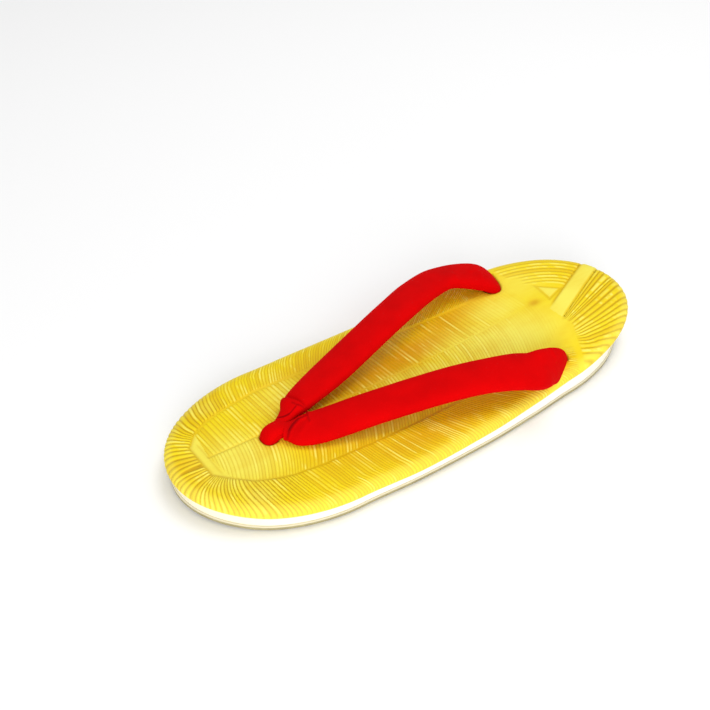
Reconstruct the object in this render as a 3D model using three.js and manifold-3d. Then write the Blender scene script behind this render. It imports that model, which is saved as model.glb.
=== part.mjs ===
// Zori sandal for either foot, in millimetres.
// +Z is up, the toe points to -Y and the heel to +Y. The floor is z = 0 and the origin is under
// the middle of the sole. A thin rubber outsole carries a foam wedge, a thick moulded foam top
// with a rolled edge lies on the wedge, and two padded cloth wings are held by a thong between
// the toes. The wing on the +X side ends a little further forward than the other one.
import * as THREE from 'three';
import { mergeVertices } from 'three/addons/utils/BufferGeometryUtils.js';
import Module from 'manifold-3d';

// Driving dimensions
const LENGTH = 240;            // sole, toe tip to heel end
const CAP_LENGTH = 60;         // the round toe and the round heel are half ellipses this long
const FIT_GAP = 0.3;           // between pieces that meet
const OUTSOLE_THICK = 2.2;
const OUTSOLE_PROUD = 0.6;     // the outsole stands out past the foam wall
const OUTSOLE_CHAMFER = 0.5;
const TOP_OVERHANG = 1.6;      // the widest part of the yellow edge past the foam wall
const CROWN = 0.9;             // rise of the top from its rim to its middle line
const TOE_PLEATS = 56;         // moulded pleats round the toe
const TOE_PLEAT_DEEP = 0.35;
const HEEL_RIBS = 40;          // moulded ribs round the heel
const HEEL_RIB_DEEP = 0.25;
const SIDE_STEPS = 20;         // outline steps along each side
const RIM_RISE = 5.9;          // top of the rim over the foam wall
const RIM_WIDE = 15;           // band of pleats round the inner panel
const PANEL_STEP = 0.5;        // the inner panel lies this much under the rim
const HOLE_CLEAR = 0.4;        // round the cloth ends where they go through the foam
const STRAP_SECTION_POINTS = 14;
const STRAP_STEPS = 44;
const THONG_STEPS = 14;

// Sole sections from toe to heel. half: half width of the foam wall. wall: height of its top
// edge. lift: height of the tread over the floor. tuck: how far the tread's edge is drawn in.
const SOLE_SECTIONS = [
  { at: 'toe tip', y: -120, half: 46.0, wall: 8.2, lift: 1.0, tuck: 0.3 },
  { at: 'toe', y: -96, half: 46.0, wall: 6.7, lift: 0.0, tuck: 0.0 },
  { at: 'thong', y: -60, half: 46.0, wall: 6.2, lift: 0.0, tuck: 0.0 },
  { at: 'ball', y: -30, half: 47.1, wall: 5.6, lift: 0.0, tuck: 0.0 },
  { at: 'waist', y: 5, half: 46.4, wall: 6.6, lift: 0.0, tuck: 0.0 },
  { at: 'arch', y: 35, half: 44.2, wall: 8.2, lift: 0.0, tuck: 0.2 },
  { at: 'heel breast', y: 60, half: 42.3, wall: 10.6, lift: 0.0, tuck: 1.2 },
  { at: 'heel', y: 84, half: 42.0, wall: 14.2, lift: 0.0, tuck: 2.4 },
  { at: 'heel end', y: 120, half: 42.0, wall: 16.6, lift: 2.6, tuck: 3.0 },
];

// Edge of the yellow top, from its underside round to the rim. inset: in from the widest line.
// rise: over the foam wall. pleatOut, pleatUp: shares of the pleats' depth, sideways and up.
const TOP_EDGE = [
  { at: 'underside', inset: 1.8, rise: FIT_GAP, pleatOut: 0.0, pleatUp: 0.0 },
  { at: 'lip', inset: 0.3, rise: 0.7, pleatOut: 0.6, pleatUp: 0.0 },
  { at: 'widest', inset: 0.0, rise: 2.2, pleatOut: 1.0, pleatUp: 0.0 },
  { at: 'shoulder', inset: 1.3, rise: 4.3, pleatOut: 0.7, pleatUp: 0.7 },
  { at: 'rim', inset: 4.0, rise: 5.4, pleatOut: 0.0, pleatUp: 1.0 },
  { at: 'rim inner', inset: RIM_WIDE, rise: RIM_RISE, pleatOut: 0.0, pleatUp: 0.6 },
  { at: 'panel', inset: RIM_WIDE + 1.2, rise: RIM_RISE - PANEL_STEP, pleatOut: 0.0, pleatUp: 0.0 },
];

// Path of each wing from the joint over the thong to its socket. x: out from the middle line.
// half and thick: half sizes of the padded section. turn: heading of its width in plan,
// degrees from straight outwards towards the heel. lean: outer edge down, degrees.
const WINGS = {
  right: [
    { at: 'joint', x: 2.6, y: -70.5, z: 15.0, half: 4.4, thick: 2.4, turn: -22, lean: 8 },
    { at: 'fold', x: 6.7, y: -65.0, z: 15.3, half: 7.7, thick: 2.7, turn: -20, lean: 8 },
    { at: 'toes', x: 9.8, y: -57.0, z: 16.1, half: 8.7, thick: 3.2, turn: -17, lean: 8 },
    { at: 'ball', x: 16.0, y: -32.5, z: 19.0, half: 8.8, thick: 3.8, turn: -16, lean: 7 },
    { at: 'instep', x: 25.8, y: -1.0, z: 23.0, half: 9.2, thick: 3.8, turn: -18, lean: 6 },
    { at: 'top', x: 31.3, y: 14.7, z: 24.0, half: 9.4, thick: 3.8, turn: -20, lean: 7 },
    { at: 'side', x: 36.8, y: 29.0, z: 23.6, half: 9.8, thick: 3.8, turn: -23, lean: 12 },
    { at: 'bend', x: 39.6, y: 36.8, z: 22.1, half: 9.3, thick: 3.7, turn: -28, lean: 20 },
    { at: 'drop', x: 38.9, y: 45.0, z: 20.3, half: 8.5, thick: 3.4, turn: -38, lean: 32 },
    { at: 'mouth', x: 37.6, y: 52.6, z: 16.8, half: 8.0, thick: 3.2, turn: -54, lean: 35 },
    { at: 'hole', x: 36.0, y: 55.8, z: 12.2, half: 7.6, thick: 3.1, turn: -61, lean: 20 },
    { at: 'socket', x: 35.0, y: 56.6, z: 7.8, half: 6.8, thick: 3.0, turn: -62, lean: 4 },
  ],
  left: [
    { at: 'joint', x: 1.6, y: -70.5, z: 15.0, half: 2.9, thick: 2.3, turn: -24, lean: 6 },
    { at: 'fold', x: 4.2, y: -65.0, z: 15.6, half: 3.8, thick: 2.7, turn: -22, lean: 6 },
    { at: 'toes', x: 8.3, y: -57.0, z: 16.7, half: 6.7, thick: 3.2, turn: -20, lean: 6 },
    { at: 'ball', x: 16.2, y: -32.5, z: 19.1, half: 8.8, thick: 3.8, turn: -16, lean: 6 },
    { at: 'instep', x: 26.1, y: -1.0, z: 23.3, half: 9.2, thick: 3.8, turn: -18, lean: 6 },
    { at: 'top', x: 31.6, y: 14.7, z: 24.3, half: 9.4, thick: 3.8, turn: -20, lean: 6 },
    { at: 'side', x: 37.2, y: 30.4, z: 24.4, half: 9.6, thick: 3.8, turn: -23, lean: 6 },
    { at: 'bend', x: 40.1, y: 46.2, z: 24.3, half: 9.5, thick: 3.8, turn: -21, lean: 6 },
    { at: 'drop', x: 37.8, y: 57.6, z: 23.0, half: 9.8, thick: 3.8, turn: -3, lean: -1 },
    { at: 'mouth', x: 33.0, y: 67.8, z: 20.4, half: 10.2, thick: 3.9, turn: 12, lean: -4 },
    { at: 'hole', x: 30.6, y: 71.8, z: 16.0, half: 9.2, thick: 3.8, turn: 18, lean: 0 },
    { at: 'socket', x: 29.8, y: 72.8, z: 10.0, half: 8.0, thick: 3.4, turn: 18, lean: 0 },
  ],
};

// Path of the toe thong from the front of the joint forward and down into its socket.
const THONG_PATH = [
  { at: 'under the joint', y: -68.5, z: 14.9, half: 3.9, thick: 2.5 },
  { at: 'front', y: -72.6, z: 14.9, half: 4.2, thick: 2.9 },
  { at: 'bend', y: -75.9, z: 13.8, half: 4.3, thick: 3.1 },
  { at: 'hole', y: -77.2, z: 10.4, half: 4.0, thick: 3.3 },
  { at: 'socket', y: -77.4, z: 4.8, half: 3.9, thick: 3.4 },
];

const COLOURS = { top: 0xe9cf28, foam: 0xf4f0de, rubber: 0xb9b08c, cloth: 0xd20404 };

// Smooth value of one column of a table, without overshoot and with flat ends.
function tableValue(rows, column, place, key = 'y') {
  const last = rows.length - 1;
  if (place <= rows[0][key]) return rows[0][column];
  if (place >= rows[last][key]) return rows[last][column];
  let i = 0;
  while (place > rows[i + 1][key]) i += 1;
  const grade = (k) => (rows[k + 1][column] - rows[k][column]) / (rows[k + 1][key] - rows[k][key]);
  const slope = (k) => {
    if (k === 0 || k === last) return 0;
    const before = grade(k - 1);
    const after = grade(k);
    return before * after > 0 ? (2 * before * after) / (before + after) : 0;
  };
  const span = rows[i + 1][key] - rows[i][key];
  const t = (place - rows[i][key]) / span;
  const level = THREE.MathUtils.lerp(rows[i][column], rows[i + 1][column], t * t * (3 - 2 * t));
  return level + t * (1 - t) * span * ((1 - t) * slope(i) - t * slope(i + 1));
}

const soleHalf = (y) => tableValue(SOLE_SECTIONS, 'half', y);
const wallTop = (y) => tableValue(SOLE_SECTIONS, 'wall', y);
const treadLift = (y) => tableValue(SOLE_SECTIONS, 'lift', y);
const treadTuck = (y) => tableValue(SOLE_SECTIONS, 'tuck', y);

// One turn round the foam wall, anticlockwise from the left end of the toe. Each point carries the depth
// of the pleat or rib there, ridge and groove by turns.
function soleOutline() {
  const points = [];
  const middle = LENGTH / 2 - CAP_LENGTH;
  const cap = (steps, centreY, side, deep) => {
    for (let i = 0; i < steps; i += 1) {
      const angle = (Math.PI * i) / steps - Math.PI / 2;
      const y = centreY + side * CAP_LENGTH * Math.cos(angle);
      const x = -side * soleHalf(y) * Math.sin(angle);
      points.push({ x, y, deep: i % 2 ? -deep : deep });
    }
  };
  const flank = (side) => {
    for (let i = 0; i < SIDE_STEPS; i += 1) {
      const y = side * middle * ((2 * i) / SIDE_STEPS - 1);
      points.push({ x: side * soleHalf(y), y, deep: 0 });
    }
  };
  cap(TOE_PLEATS * 2, -middle, -1, TOE_PLEAT_DEEP);
  flank(1);
  cap(HEEL_RIBS * 2, middle, 1, HEEL_RIB_DEEP);
  flank(-1);
  return points;
}

const OUTLINE = soleOutline();

// A ring moved out from the foam wall by a distance that may change along the sole.
function offsetRing(outDistance, height, every = 1) {
  const ring = [];
  for (let i = 0; i < OUTLINE.length; i += every) {
    const point = OUTLINE[i];
    const before = OUTLINE[(i + OUTLINE.length - 1) % OUTLINE.length];
    const after = OUTLINE[(i + 1) % OUTLINE.length];
    const tangent = new THREE.Vector2(after.x - before.x, after.y - before.y).normalize();
    const out = outDistance(point);
    const x = point.x + tangent.y * out;
    const y = point.y - tangent.x * out;
    ring.push(new THREE.Vector3(x, y, height(point, y)));
  }
  return ring;
}

// The middle line of the sole that closes a face: each outline point falls to x = 0.
function spineRing(height, every = 1) {
  const reach = LENGTH / 2 - CAP_LENGTH * 0.62;
  const ring = [];
  for (let i = 0; i < OUTLINE.length; i += every) {
    const y = (OUTLINE[i].y / (LENGTH / 2)) * reach;
    ring.push(new THREE.Vector3(0, y, height(OUTLINE[i], y)));
  }
  return ring;
}

// Closed mesh from rings of equal length, with each end ring on the middle line.
function geometryFromRings(rings) {
  const count = rings[0].length;
  const positions = rings.flat().flatMap((p) => [p.x, p.y, p.z]);
  const index = [];
  for (let r = 0; r + 1 < rings.length; r += 1) {
    for (let i = 0; i < count; i += 1) {
      const j = (i + 1) % count;
      const [a, b, c, d] = [r * count + i, r * count + j, (r + 1) * count + j, (r + 1) * count + i];
      index.push(a, b, c, a, c, d);
    }
  }
  const geometry = new THREE.BufferGeometry();
  geometry.setAttribute('position', new THREE.Float32BufferAttribute(positions, 3));
  geometry.setIndex(index);
  return geometry;
}

// Height of the top along its middle line.
const crownAt = (point, y) => wallTop(y) + RIM_RISE - PANEL_STEP + CROWN;

function outsoleGeometry() {
  const edge = (proud) => (point) => proud - treadTuck(point.y);
  const above = (rise) => (point, y) => treadLift(y) + rise;
  return geometryFromRings([
    spineRing(above(0), 2),
    offsetRing(edge(OUTSOLE_PROUD - OUTSOLE_CHAMFER), above(0), 2),
    offsetRing(edge(OUTSOLE_PROUD), above(OUTSOLE_CHAMFER), 2),
    offsetRing(edge(OUTSOLE_PROUD), above(OUTSOLE_THICK - 0.4), 2),
    offsetRing(edge(OUTSOLE_PROUD - 0.4), above(OUTSOLE_THICK), 2),
    spineRing(above(OUTSOLE_THICK), 2),
  ]);
}

function midsoleGeometry() {
  const foot = OUTSOLE_THICK + FIT_GAP;
  const above = (rise) => (point, y) => treadLift(y) + foot + rise;
  const top = (point, y) => wallTop(y);
  return geometryFromRings([
    spineRing(above(0), 2),
    offsetRing((point) => -0.5 - treadTuck(point.y), above(0), 2),
    offsetRing((point) => -treadTuck(point.y), above(0.6), 2),
    offsetRing(() => 0, top, 2),
    spineRing(top, 2),
  ]);
}

function topSheetGeometry() {
  const rings = [spineRing((point, y) => wallTop(y) + FIT_GAP)];
  for (const row of TOP_EDGE) {
    const out = (point) => TOP_OVERHANG - row.inset + row.pleatOut * point.deep;
    const height = (point, y) => wallTop(y) + row.rise + row.pleatUp * point.deep;
    rings.push(offsetRing(out, height));
  }
  rings.push(spineRing(crownAt));
  return geometryFromRings(rings);
}

// A padded tube along a table of rows. grow adds to its half sizes, for a hole that clears it.
function paddedTube(rows, grow = 0, steps = STRAP_STEPS) {
  const ordered = rows.map((row, order) => ({ x: 0, turn: 0, lean: 0, ...row, order }));
  const curve = new THREE.CatmullRomCurve3(ordered.map((row) => new THREE.Vector3(row.x, row.y, row.z)));
  const column = (name, t) => tableValue(ordered, name, t * (rows.length - 1), 'order');
  const positions = [];
  const index = [];
  const count = STRAP_SECTION_POINTS;
  const soft = (v) => Math.sign(v) * Math.abs(v) ** 0.8;
  for (let s = 0; s <= steps; s += 1) {
    const t = s / steps;
    const centre = curve.getPoint(t);
    const tangent = curve.getTangent(t);
    const turn = THREE.MathUtils.degToRad(column('turn', t));
    const lean = THREE.MathUtils.degToRad(column('lean', t));
    const wide = new THREE.Vector3(Math.cos(turn), Math.sin(turn), -Math.tan(lean));
    wide.addScaledVector(tangent, -wide.dot(tangent)).normalize();
    const up = new THREE.Vector3().crossVectors(wide, tangent);
    const half = column('half', t) + grow;
    const thick = column('thick', t) + grow;
    for (let k = 0; k < count; k += 1) {
      const angle = (2 * Math.PI * k) / count;
      const p = centre.clone();
      p.addScaledVector(wide, half * soft(Math.cos(angle)));
      p.addScaledVector(up, thick * soft(Math.sin(angle)));
      positions.push(p.x, p.y, p.z);
    }
  }
  for (const t of [0, 1]) {
    const end = curve.getPoint(t).addScaledVector(curve.getTangent(t), t ? grow : -grow);
    positions.push(end.x, end.y, end.z);
  }
  const firstCentre = (steps + 1) * count;
  for (let k = 0; k < count; k += 1) {
    const n = (k + 1) % count;
    for (let s = 0; s < steps; s += 1) {
      const a = s * count + k;
      const b = s * count + n;
      index.push(a, a + count, b + count, a, b + count, b);
    }
    index.push(firstCentre, k, n);
    index.push(firstCentre + 1, steps * count + n, steps * count + k);
  }
  const geometry = new THREE.BufferGeometry();
  geometry.setAttribute('position', new THREE.Float32BufferAttribute(positions, 3));
  geometry.setIndex(index);
  return geometry;
}

// The same form on the other side of the sole.
function mirrored(geometry) {
  const copy = geometry.clone().scale(-1, 1, 1);
  const index = Array.from(copy.index.array);
  for (let i = 0; i < index.length; i += 3) [index[i], index[i + 1]] = [index[i + 1], index[i]];
  copy.setIndex(index);
  return copy;
}

const wasm = await Module();
wasm.setup();

function solidFrom(geometry) {
  const bare = geometry.clone();
  bare.deleteAttribute('normal');
  bare.deleteAttribute('uv');
  const merged = mergeVertices(bare, 1e-4);
  return new wasm.Manifold(new wasm.Mesh({
    numProp: 3,
    vertProperties: new Float32Array(merged.attributes.position.array),
    triVerts: new Uint32Array(merged.index.array),
  }));
}

function geometryFrom(solid) {
  const mesh = solid.getMesh();
  const geometry = new THREE.BufferGeometry();
  geometry.setAttribute('position', new THREE.BufferAttribute(new Float32Array(mesh.vertProperties), 3));
  geometry.setIndex(new THREE.BufferAttribute(new Uint32Array(mesh.triVerts), 1));
  geometry.computeVertexNormals();
  return geometry;
}

// Both wings as one sewn piece, joined over the thong.
function wings(grow) {
  const right = solidFrom(paddedTube(WINGS.right, grow));
  const left = solidFrom(mirrored(paddedTube(WINGS.left, grow)));
  return right.add(left);
}

const strapSolid = wings(0);
const strapSpace = wings(HOLE_CLEAR);
const thongForm = solidFrom(paddedTube(THONG_PATH, 0, THONG_STEPS));
const thongSpace = solidFrom(paddedTube(THONG_PATH, HOLE_CLEAR, THONG_STEPS));
const thongSolid = thongForm.subtract(wings(FIT_GAP));
const footbed = (geometry) => solidFrom(geometry).subtract(strapSpace).subtract(thongSpace);

const PIECES = [
  { name: 'outsole', solid: solidFrom(outsoleGeometry()), color: COLOURS.rubber, roughness: 0.75 },
  { name: 'midsole', solid: footbed(midsoleGeometry()), color: COLOURS.foam, roughness: 0.7 },
  { name: 'top_sheet', solid: footbed(topSheetGeometry()), color: COLOURS.top, roughness: 0.5 },
  { name: 'straps', solid: strapSolid, color: COLOURS.cloth, roughness: 0.8 },
  { name: 'toe_thong', solid: thongSolid, color: COLOURS.cloth, roughness: 0.8 },
];

const zori = new THREE.Group();
for (const { name, solid, color, roughness } of PIECES) {
  const material = new THREE.MeshStandardMaterial({ color, roughness, metalness: 0 });
  const mesh = new THREE.Mesh(geometryFrom(solid), material);
  mesh.name = name;
  zori.add(mesh);
}

export default zori;
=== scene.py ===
# %% [markdown]
# # A zori sandal for either foot
# The real sandal is glued up from a thin rubber tread, a foam wedge and a thick moulded foam top.
# Two padded cloth wings meet over a thong between the toes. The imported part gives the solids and
# the frame: metres, +Z up, toe to -Y. Each piece here is made again with a finer surface, at the
# same place, and stands for its solid.

import math

import bmesh
import bpy
import numpy as np
from mathutils import Matrix, Vector


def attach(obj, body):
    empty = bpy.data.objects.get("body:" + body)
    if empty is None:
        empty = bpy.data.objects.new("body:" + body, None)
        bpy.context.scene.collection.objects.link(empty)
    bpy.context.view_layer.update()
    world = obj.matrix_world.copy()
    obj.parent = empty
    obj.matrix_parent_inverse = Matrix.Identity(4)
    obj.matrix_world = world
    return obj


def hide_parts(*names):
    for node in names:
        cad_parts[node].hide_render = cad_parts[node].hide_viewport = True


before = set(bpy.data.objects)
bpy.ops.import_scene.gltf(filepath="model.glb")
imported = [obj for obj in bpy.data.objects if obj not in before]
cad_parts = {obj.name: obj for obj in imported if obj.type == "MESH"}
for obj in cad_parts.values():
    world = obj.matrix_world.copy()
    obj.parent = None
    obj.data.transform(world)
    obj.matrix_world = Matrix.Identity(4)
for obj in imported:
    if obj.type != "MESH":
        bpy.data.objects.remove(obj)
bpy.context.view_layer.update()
MM = 0.001
print("nodes:", sorted(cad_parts))

# %% [markdown]
# ## One short way to write node maths
# A node tree is hard to read as a list of links. A small class wraps one socket, so that sums and
# products are written as in ordinary Python and add their Math nodes. Every other kind of node
# comes from its one method. It works in shader trees and in geometry trees.


# %% Wrap a socket
class Wire:
    def __init__(self, tree, socket=None):
        self.tree = tree
        self.socket = socket

    def node(self, kind, settings=None, inputs=None, output=0):
        made = self.tree.nodes.new(kind)
        for name, value in (settings or {}).items():
            setattr(made, name, value)
        for key, value in (inputs or {}).items():
            if isinstance(value, Wire):
                self.tree.links.new(value.socket, made.inputs[key])
            else:
                made.inputs[key].default_value = value
        return Wire(self.tree, made.outputs[output] if made.outputs else None)

    def maths(self, operation, *others):
        inputs = {place: value for place, value in enumerate((self, *others))}
        return self.node("ShaderNodeMath", {"operation": operation}, inputs)

    def __add__(self, other):
        return self.maths("ADD", other)

    def __mul__(self, other):
        return self.maths("MULTIPLY", other)

    def __sub__(self, other):
        return self.maths("SUBTRACT", other)

    def __rsub__(self, other):
        return self.node("ShaderNodeMath", {"operation": "SUBTRACT"}, {0: other, 1: self})

    __radd__ = __add__
    __rmul__ = __mul__

    def between(self, low, high):
        settings = {"interpolation_type": "SMOOTHSTEP"}
        inputs = {"Value": self, "From Min": low, "From Max": high}
        return self.node("ShaderNodeMapRange", settings, inputs)


# %% [markdown]
# ## Colours and finishes
# Colours are picked from the photograph as screen values, and the shader wants linear
# light, so one function turns the one into the other. Each finish is a function that fills a new
# material and sets the numbers that don't vary straight on the Principled shader.


# %% Make a material and mix colours
def linear(red, green, blue):
    def channel(value):
        share = value / 255
        return share / 12.92 if share <= 0.04045 else ((share + 0.055) / 1.055) ** 2.4

    return (channel(red), channel(green), channel(blue), 1.0)


def new_finish(name, constants):
    material = bpy.data.materials.new(name)
    material.use_nodes = True
    tree = material.node_tree
    shader = tree.nodes["Principled BSDF"]
    for socket, value in constants.items():
        shader.inputs[socket].default_value = value
    return material, Wire(tree), shader


def mix(factor, first, second):
    return factor.node("ShaderNodeMix", {"data_type": "RGBA"}, {0: factor, 6: first, 7: second}, 2)


def grain(start, scale, detail=3.0, stretch=(1.0, 1.0, 1.0)):
    place = start.node("ShaderNodeTexCoord", output=3)
    place = start.node("ShaderNodeMapping", None, {"Vector": place, "Scale": stretch})
    inputs = {"Vector": place, "Scale": scale, "Detail": detail, "Roughness": 0.6}
    return start.node("ShaderNodeTexNoise", None, inputs)


def finish_with(start, shader, colour, roughness, height, distance):
    inputs = {"Height": height, "Distance": distance, "Strength": 1.0}
    bump = start.node("ShaderNodeBump", None, inputs)
    for socket, value in (("Base Color", colour), ("Roughness", roughness), ("Normal", bump)):
        start.tree.links.new(value.socket, shader.inputs[socket])


# %% [markdown]
# ## The sole's outline
# The sole is one outline with two half ellipses and two flanks that narrow towards the heel, and the
# height of the foam wall changes from toe to heel. The same short table drives the tread, the wedge
# and the top, so the three always meet. Columns are read with a smooth curve that doesn't overshoot.

# %% Read smooth values from a table
LENGTH = 240.0
CAP_LENGTH = 60.0
SOLE_COLUMNS = ("y", "half", "wall", "lift", "tuck")
SOLE_ROWS = (
    (-120, 46.0, 8.2, 1.0, 0.3),
    (-96, 46.0, 6.7, 0.0, 0.0),
    (-60, 46.0, 6.2, 0.0, 0.0),
    (-30, 47.1, 5.6, 0.0, 0.0),
    (5, 46.4, 6.6, 0.0, 0.0),
    (35, 44.2, 8.2, 0.0, 0.2),
    (60, 42.3, 10.6, 0.0, 1.2),
    (84, 42.0, 14.2, 0.0, 2.4),
    (120, 42.0, 16.6, 2.6, 3.0),
)


def smooth_values(places, knots, values):
    knots = np.asarray(knots, float)
    values = np.asarray(values, float)
    grade = np.diff(values) / np.diff(knots)
    slope = np.zeros(len(knots))
    before, after = grade[:-1], grade[1:]
    same = before * after > 0
    slope[1:-1][same] = 2 * before[same] * after[same] / (before[same] + after[same])
    places = np.clip(places, knots[0], knots[-1])
    i = np.clip(np.searchsorted(knots, places, side="right") - 1, 0, len(knots) - 2)
    span = knots[i + 1] - knots[i]
    t = (places - knots[i]) / span
    level = values[i] + (values[i + 1] - values[i]) * t * t * (3 - 2 * t)
    return level + t * (1 - t) * span * ((1 - t) * slope[i] - t * slope[i + 1])


def sole(column, places):
    rows = np.array(SOLE_ROWS, float)
    return smooth_values(places, rows[:, 0], rows[:, SOLE_COLUMNS.index(column)])


def soft_step(values, low, high):
    t = np.clip((values - low) / (high - low), 0, 1)
    return t * t * (3 - 2 * t)


# %% Walk round the outline in even steps
CAP_SAMPLES = 600
FLANK_SAMPLES = 300
TOP_COUNT = 900


def even_loop(points, count):
    closed = np.vstack([points, points[:1]])
    run = np.concatenate([[0], np.cumsum(np.linalg.norm(np.diff(closed, axis=0), axis=1))])
    places = np.linspace(0, run[-1], count, endpoint=False)
    return np.stack([np.interp(places, run, closed[:, axis]) for axis in (0, 1)], 1), places


def sole_outline(count):
    angle = np.linspace(-math.pi / 2, math.pi / 2, CAP_SAMPLES, endpoint=False)
    middle = LENGTH / 2 - CAP_LENGTH
    toe_y = -middle - CAP_LENGTH * np.cos(angle)
    heel_y = middle + CAP_LENGTH * np.cos(angle)
    flank_y = np.linspace(-middle, middle, FLANK_SAMPLES, endpoint=False)
    toe = np.stack([sole("half", toe_y) * np.sin(angle), toe_y], 1)
    right = np.stack([sole("half", flank_y), flank_y], 1)
    heel = np.stack([-sole("half", heel_y) * np.sin(angle), heel_y], 1)
    left = np.stack([-sole("half", -flank_y), -flank_y], 1)
    points, run = even_loop(np.vstack([toe, right, heel, left]), count)
    tangent = np.roll(points, -1, 0) - np.roll(points, 1, 0)
    tangent /= np.linalg.norm(tangent, axis=1)[:, None]
    outward = np.stack([tangent[:, 1], -tangent[:, 0]], 1)
    return points, outward, run


edge, edge_out, edge_run = sole_outline(TOP_COUNT)
print("outline length, mm:", round(edge_run[-1], 1))

# %% [markdown]
# ## Meshes from rings
# Each layer of the sole is a stack of rings round the outline, and its first and last rings fall
# onto the sole's middle line. The points of the two halves lie along that line without pairing up,
# so the faces meet there but the seam isn't joined. Working in arrays keeps the rule for each ring
# in view, and the mesh is written once at the end.

# %% Turn rings into a mesh
SPINE_SHARE = 0.62
MERGE_DISTANCE = 0.00002


def spine_points(points):
    reach = (LENGTH / 2 - CAP_LENGTH * SPINE_SHARE) / (LENGTH / 2)
    return np.stack([np.zeros(len(points)), points[:, 1] * reach], 1)


def ring_faces(rings, count):
    faces = []
    for r in range(rings - 1):
        for i in range(count):
            j = (i + 1) % count
            faces.append((r * count + i, r * count + j, (r + 1) * count + j, (r + 1) * count + i))
    return faces


def new_piece(name, vertices, faces):
    mesh = bpy.data.meshes.new(name)
    mesh.from_pydata([tuple(v) for v in np.asarray(vertices) * MM], [], faces)
    mesh.validate()
    mesh.shade_smooth()
    piece = bpy.data.objects.new(name, mesh)
    bpy.context.scene.collection.objects.link(piece)
    return piece


def merge_doubles(piece):
    work = bmesh.new()
    work.from_mesh(piece.data)
    bmesh.ops.remove_doubles(work, verts=work.verts, dist=MERGE_DISTANCE)
    bmesh.ops.recalc_face_normals(work, faces=work.faces)
    work.to_mesh(piece.data)
    work.free()


def layer(name, rings, shares=None):
    count = len(rings[0])
    piece = new_piece(name, np.vstack(rings), ring_faces(len(rings), count))
    if shares is not None:
        attribute = piece.data.attributes.new("edge_share", "FLOAT", "POINT")
        attribute.data.foreach_set("value", np.repeat(shares, count).astype(np.float32))
    merge_doubles(piece)
    print(name, "triangles:", 2 * len(piece.data.polygons))
    return piece


# %% [markdown]
# ## Tread and wedge
# The tread is a tan sheet that stands a little proud of the foam and is drawn in under the heel.
# The wedge wall is cut foam: almost flat, with a fine grain and a faint waviness from the knife.
# Both are rings round the outline, because nothing else on them repeats.

# %% Build the tread
OUTSOLE_THICK = 2.2
OUTSOLE_PROUD = 0.6
FIT_GAP = 0.3
SIDE_COUNT = 560
side_points, side_out, side_run = sole_outline(SIDE_COUNT)


def ring_at(out, height, points=side_points, outward=side_out):
    moved = points + outward * np.reshape(out, (-1, 1))
    return np.column_stack([moved, height(moved[:, 1])])


def spine_at(height, points=side_points):
    spine = spine_points(points)
    return np.column_stack([spine, height(spine[:, 1])])


def tread_height(rise):
    return lambda y: sole("lift", y) + rise


tuck = sole("tuck", side_points[:, 1])
TREAD_EDGE = (
    (-0.5, 0.0), (0.0, 0.16), (0.5, 0.5), (OUTSOLE_PROUD, 1.0), (OUTSOLE_PROUD, 1.7), (0.45, 2.05),
    (0.1, OUTSOLE_THICK),
)
tread_rings = [spine_at(tread_height(0.0))]
tread_rings += [ring_at(out - tuck, tread_height(rise)) for out, rise in TREAD_EDGE]
tread_rings.append(spine_at(tread_height(OUTSOLE_THICK)))
edge_shares = [0.0, *(rise / OUTSOLE_THICK for out, rise in TREAD_EDGE), 1.0]
tread = layer("tread_sheet", tread_rings, edge_shares)

# %% Build the foam wedge
WALL_STEPS = 18
WALL_WAVE = 0.12
WALL_BOW = 0.25


def wedge_ring(share):
    wander = WALL_WAVE * np.sin(side_run / 17.0 + 2.4 * share) * math.sin(math.pi * share)
    bow = -WALL_BOW * math.sin(math.pi * share)
    foot = sole("lift", side_points[:, 1]) + OUTSOLE_THICK + FIT_GAP
    height = foot + (sole("wall", side_points[:, 1]) - foot) * share
    moved = side_points + side_out * (bow + wander - tuck * (1 - share))[:, None]
    return np.column_stack([moved, height])


wedge_rings = [spine_at(tread_height(OUTSOLE_THICK + FIT_GAP))]
wedge_rings += [wedge_ring(step / WALL_STEPS) for step in range(WALL_STEPS + 1)]
wedge_rings.append(spine_at(lambda y: sole("wall", y)))
wedge = layer("foam_wedge", wedge_rings)

# %% [markdown]
# ## Padded straps
# Each wing is a cloth tube over soft padding. Its path runs from the joint over the thong, up over
# the instep and down into its socket, and the section is a soft oval that leans outwards. The
# path and sizes are the solid's own, so the tube lies where the collision shape is. The thong is a
# whole tube too, and it starts a little way inside the joint, where it isn't seen.

# %% Tables of the wings and the thong
WING_COLUMNS = ("x", "y", "z", "half", "thick", "turn", "lean")
RIGHT_WING = (
    (2.6, -70.5, 15.0, 4.4, 2.4, -22, 8),
    (6.7, -65.0, 15.3, 7.7, 2.7, -20, 8),
    (9.8, -57.0, 16.1, 8.7, 3.2, -17, 8),
    (16.0, -32.5, 19.0, 8.8, 3.8, -16, 7),
    (25.8, -1.0, 23.0, 9.2, 3.8, -18, 6),
    (31.3, 14.7, 24.0, 9.4, 3.8, -20, 7),
    (36.8, 29.0, 23.6, 9.8, 3.8, -23, 12),
    (39.6, 36.8, 22.1, 9.3, 3.7, -28, 20),
    (38.9, 45.0, 20.3, 8.5, 3.4, -38, 32),
    (37.6, 52.6, 16.8, 8.0, 3.2, -54, 35),
    (36.0, 55.8, 12.2, 7.6, 3.1, -61, 20),
    (35.0, 56.6, 7.8, 6.8, 3.0, -62, 4),
)
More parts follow.
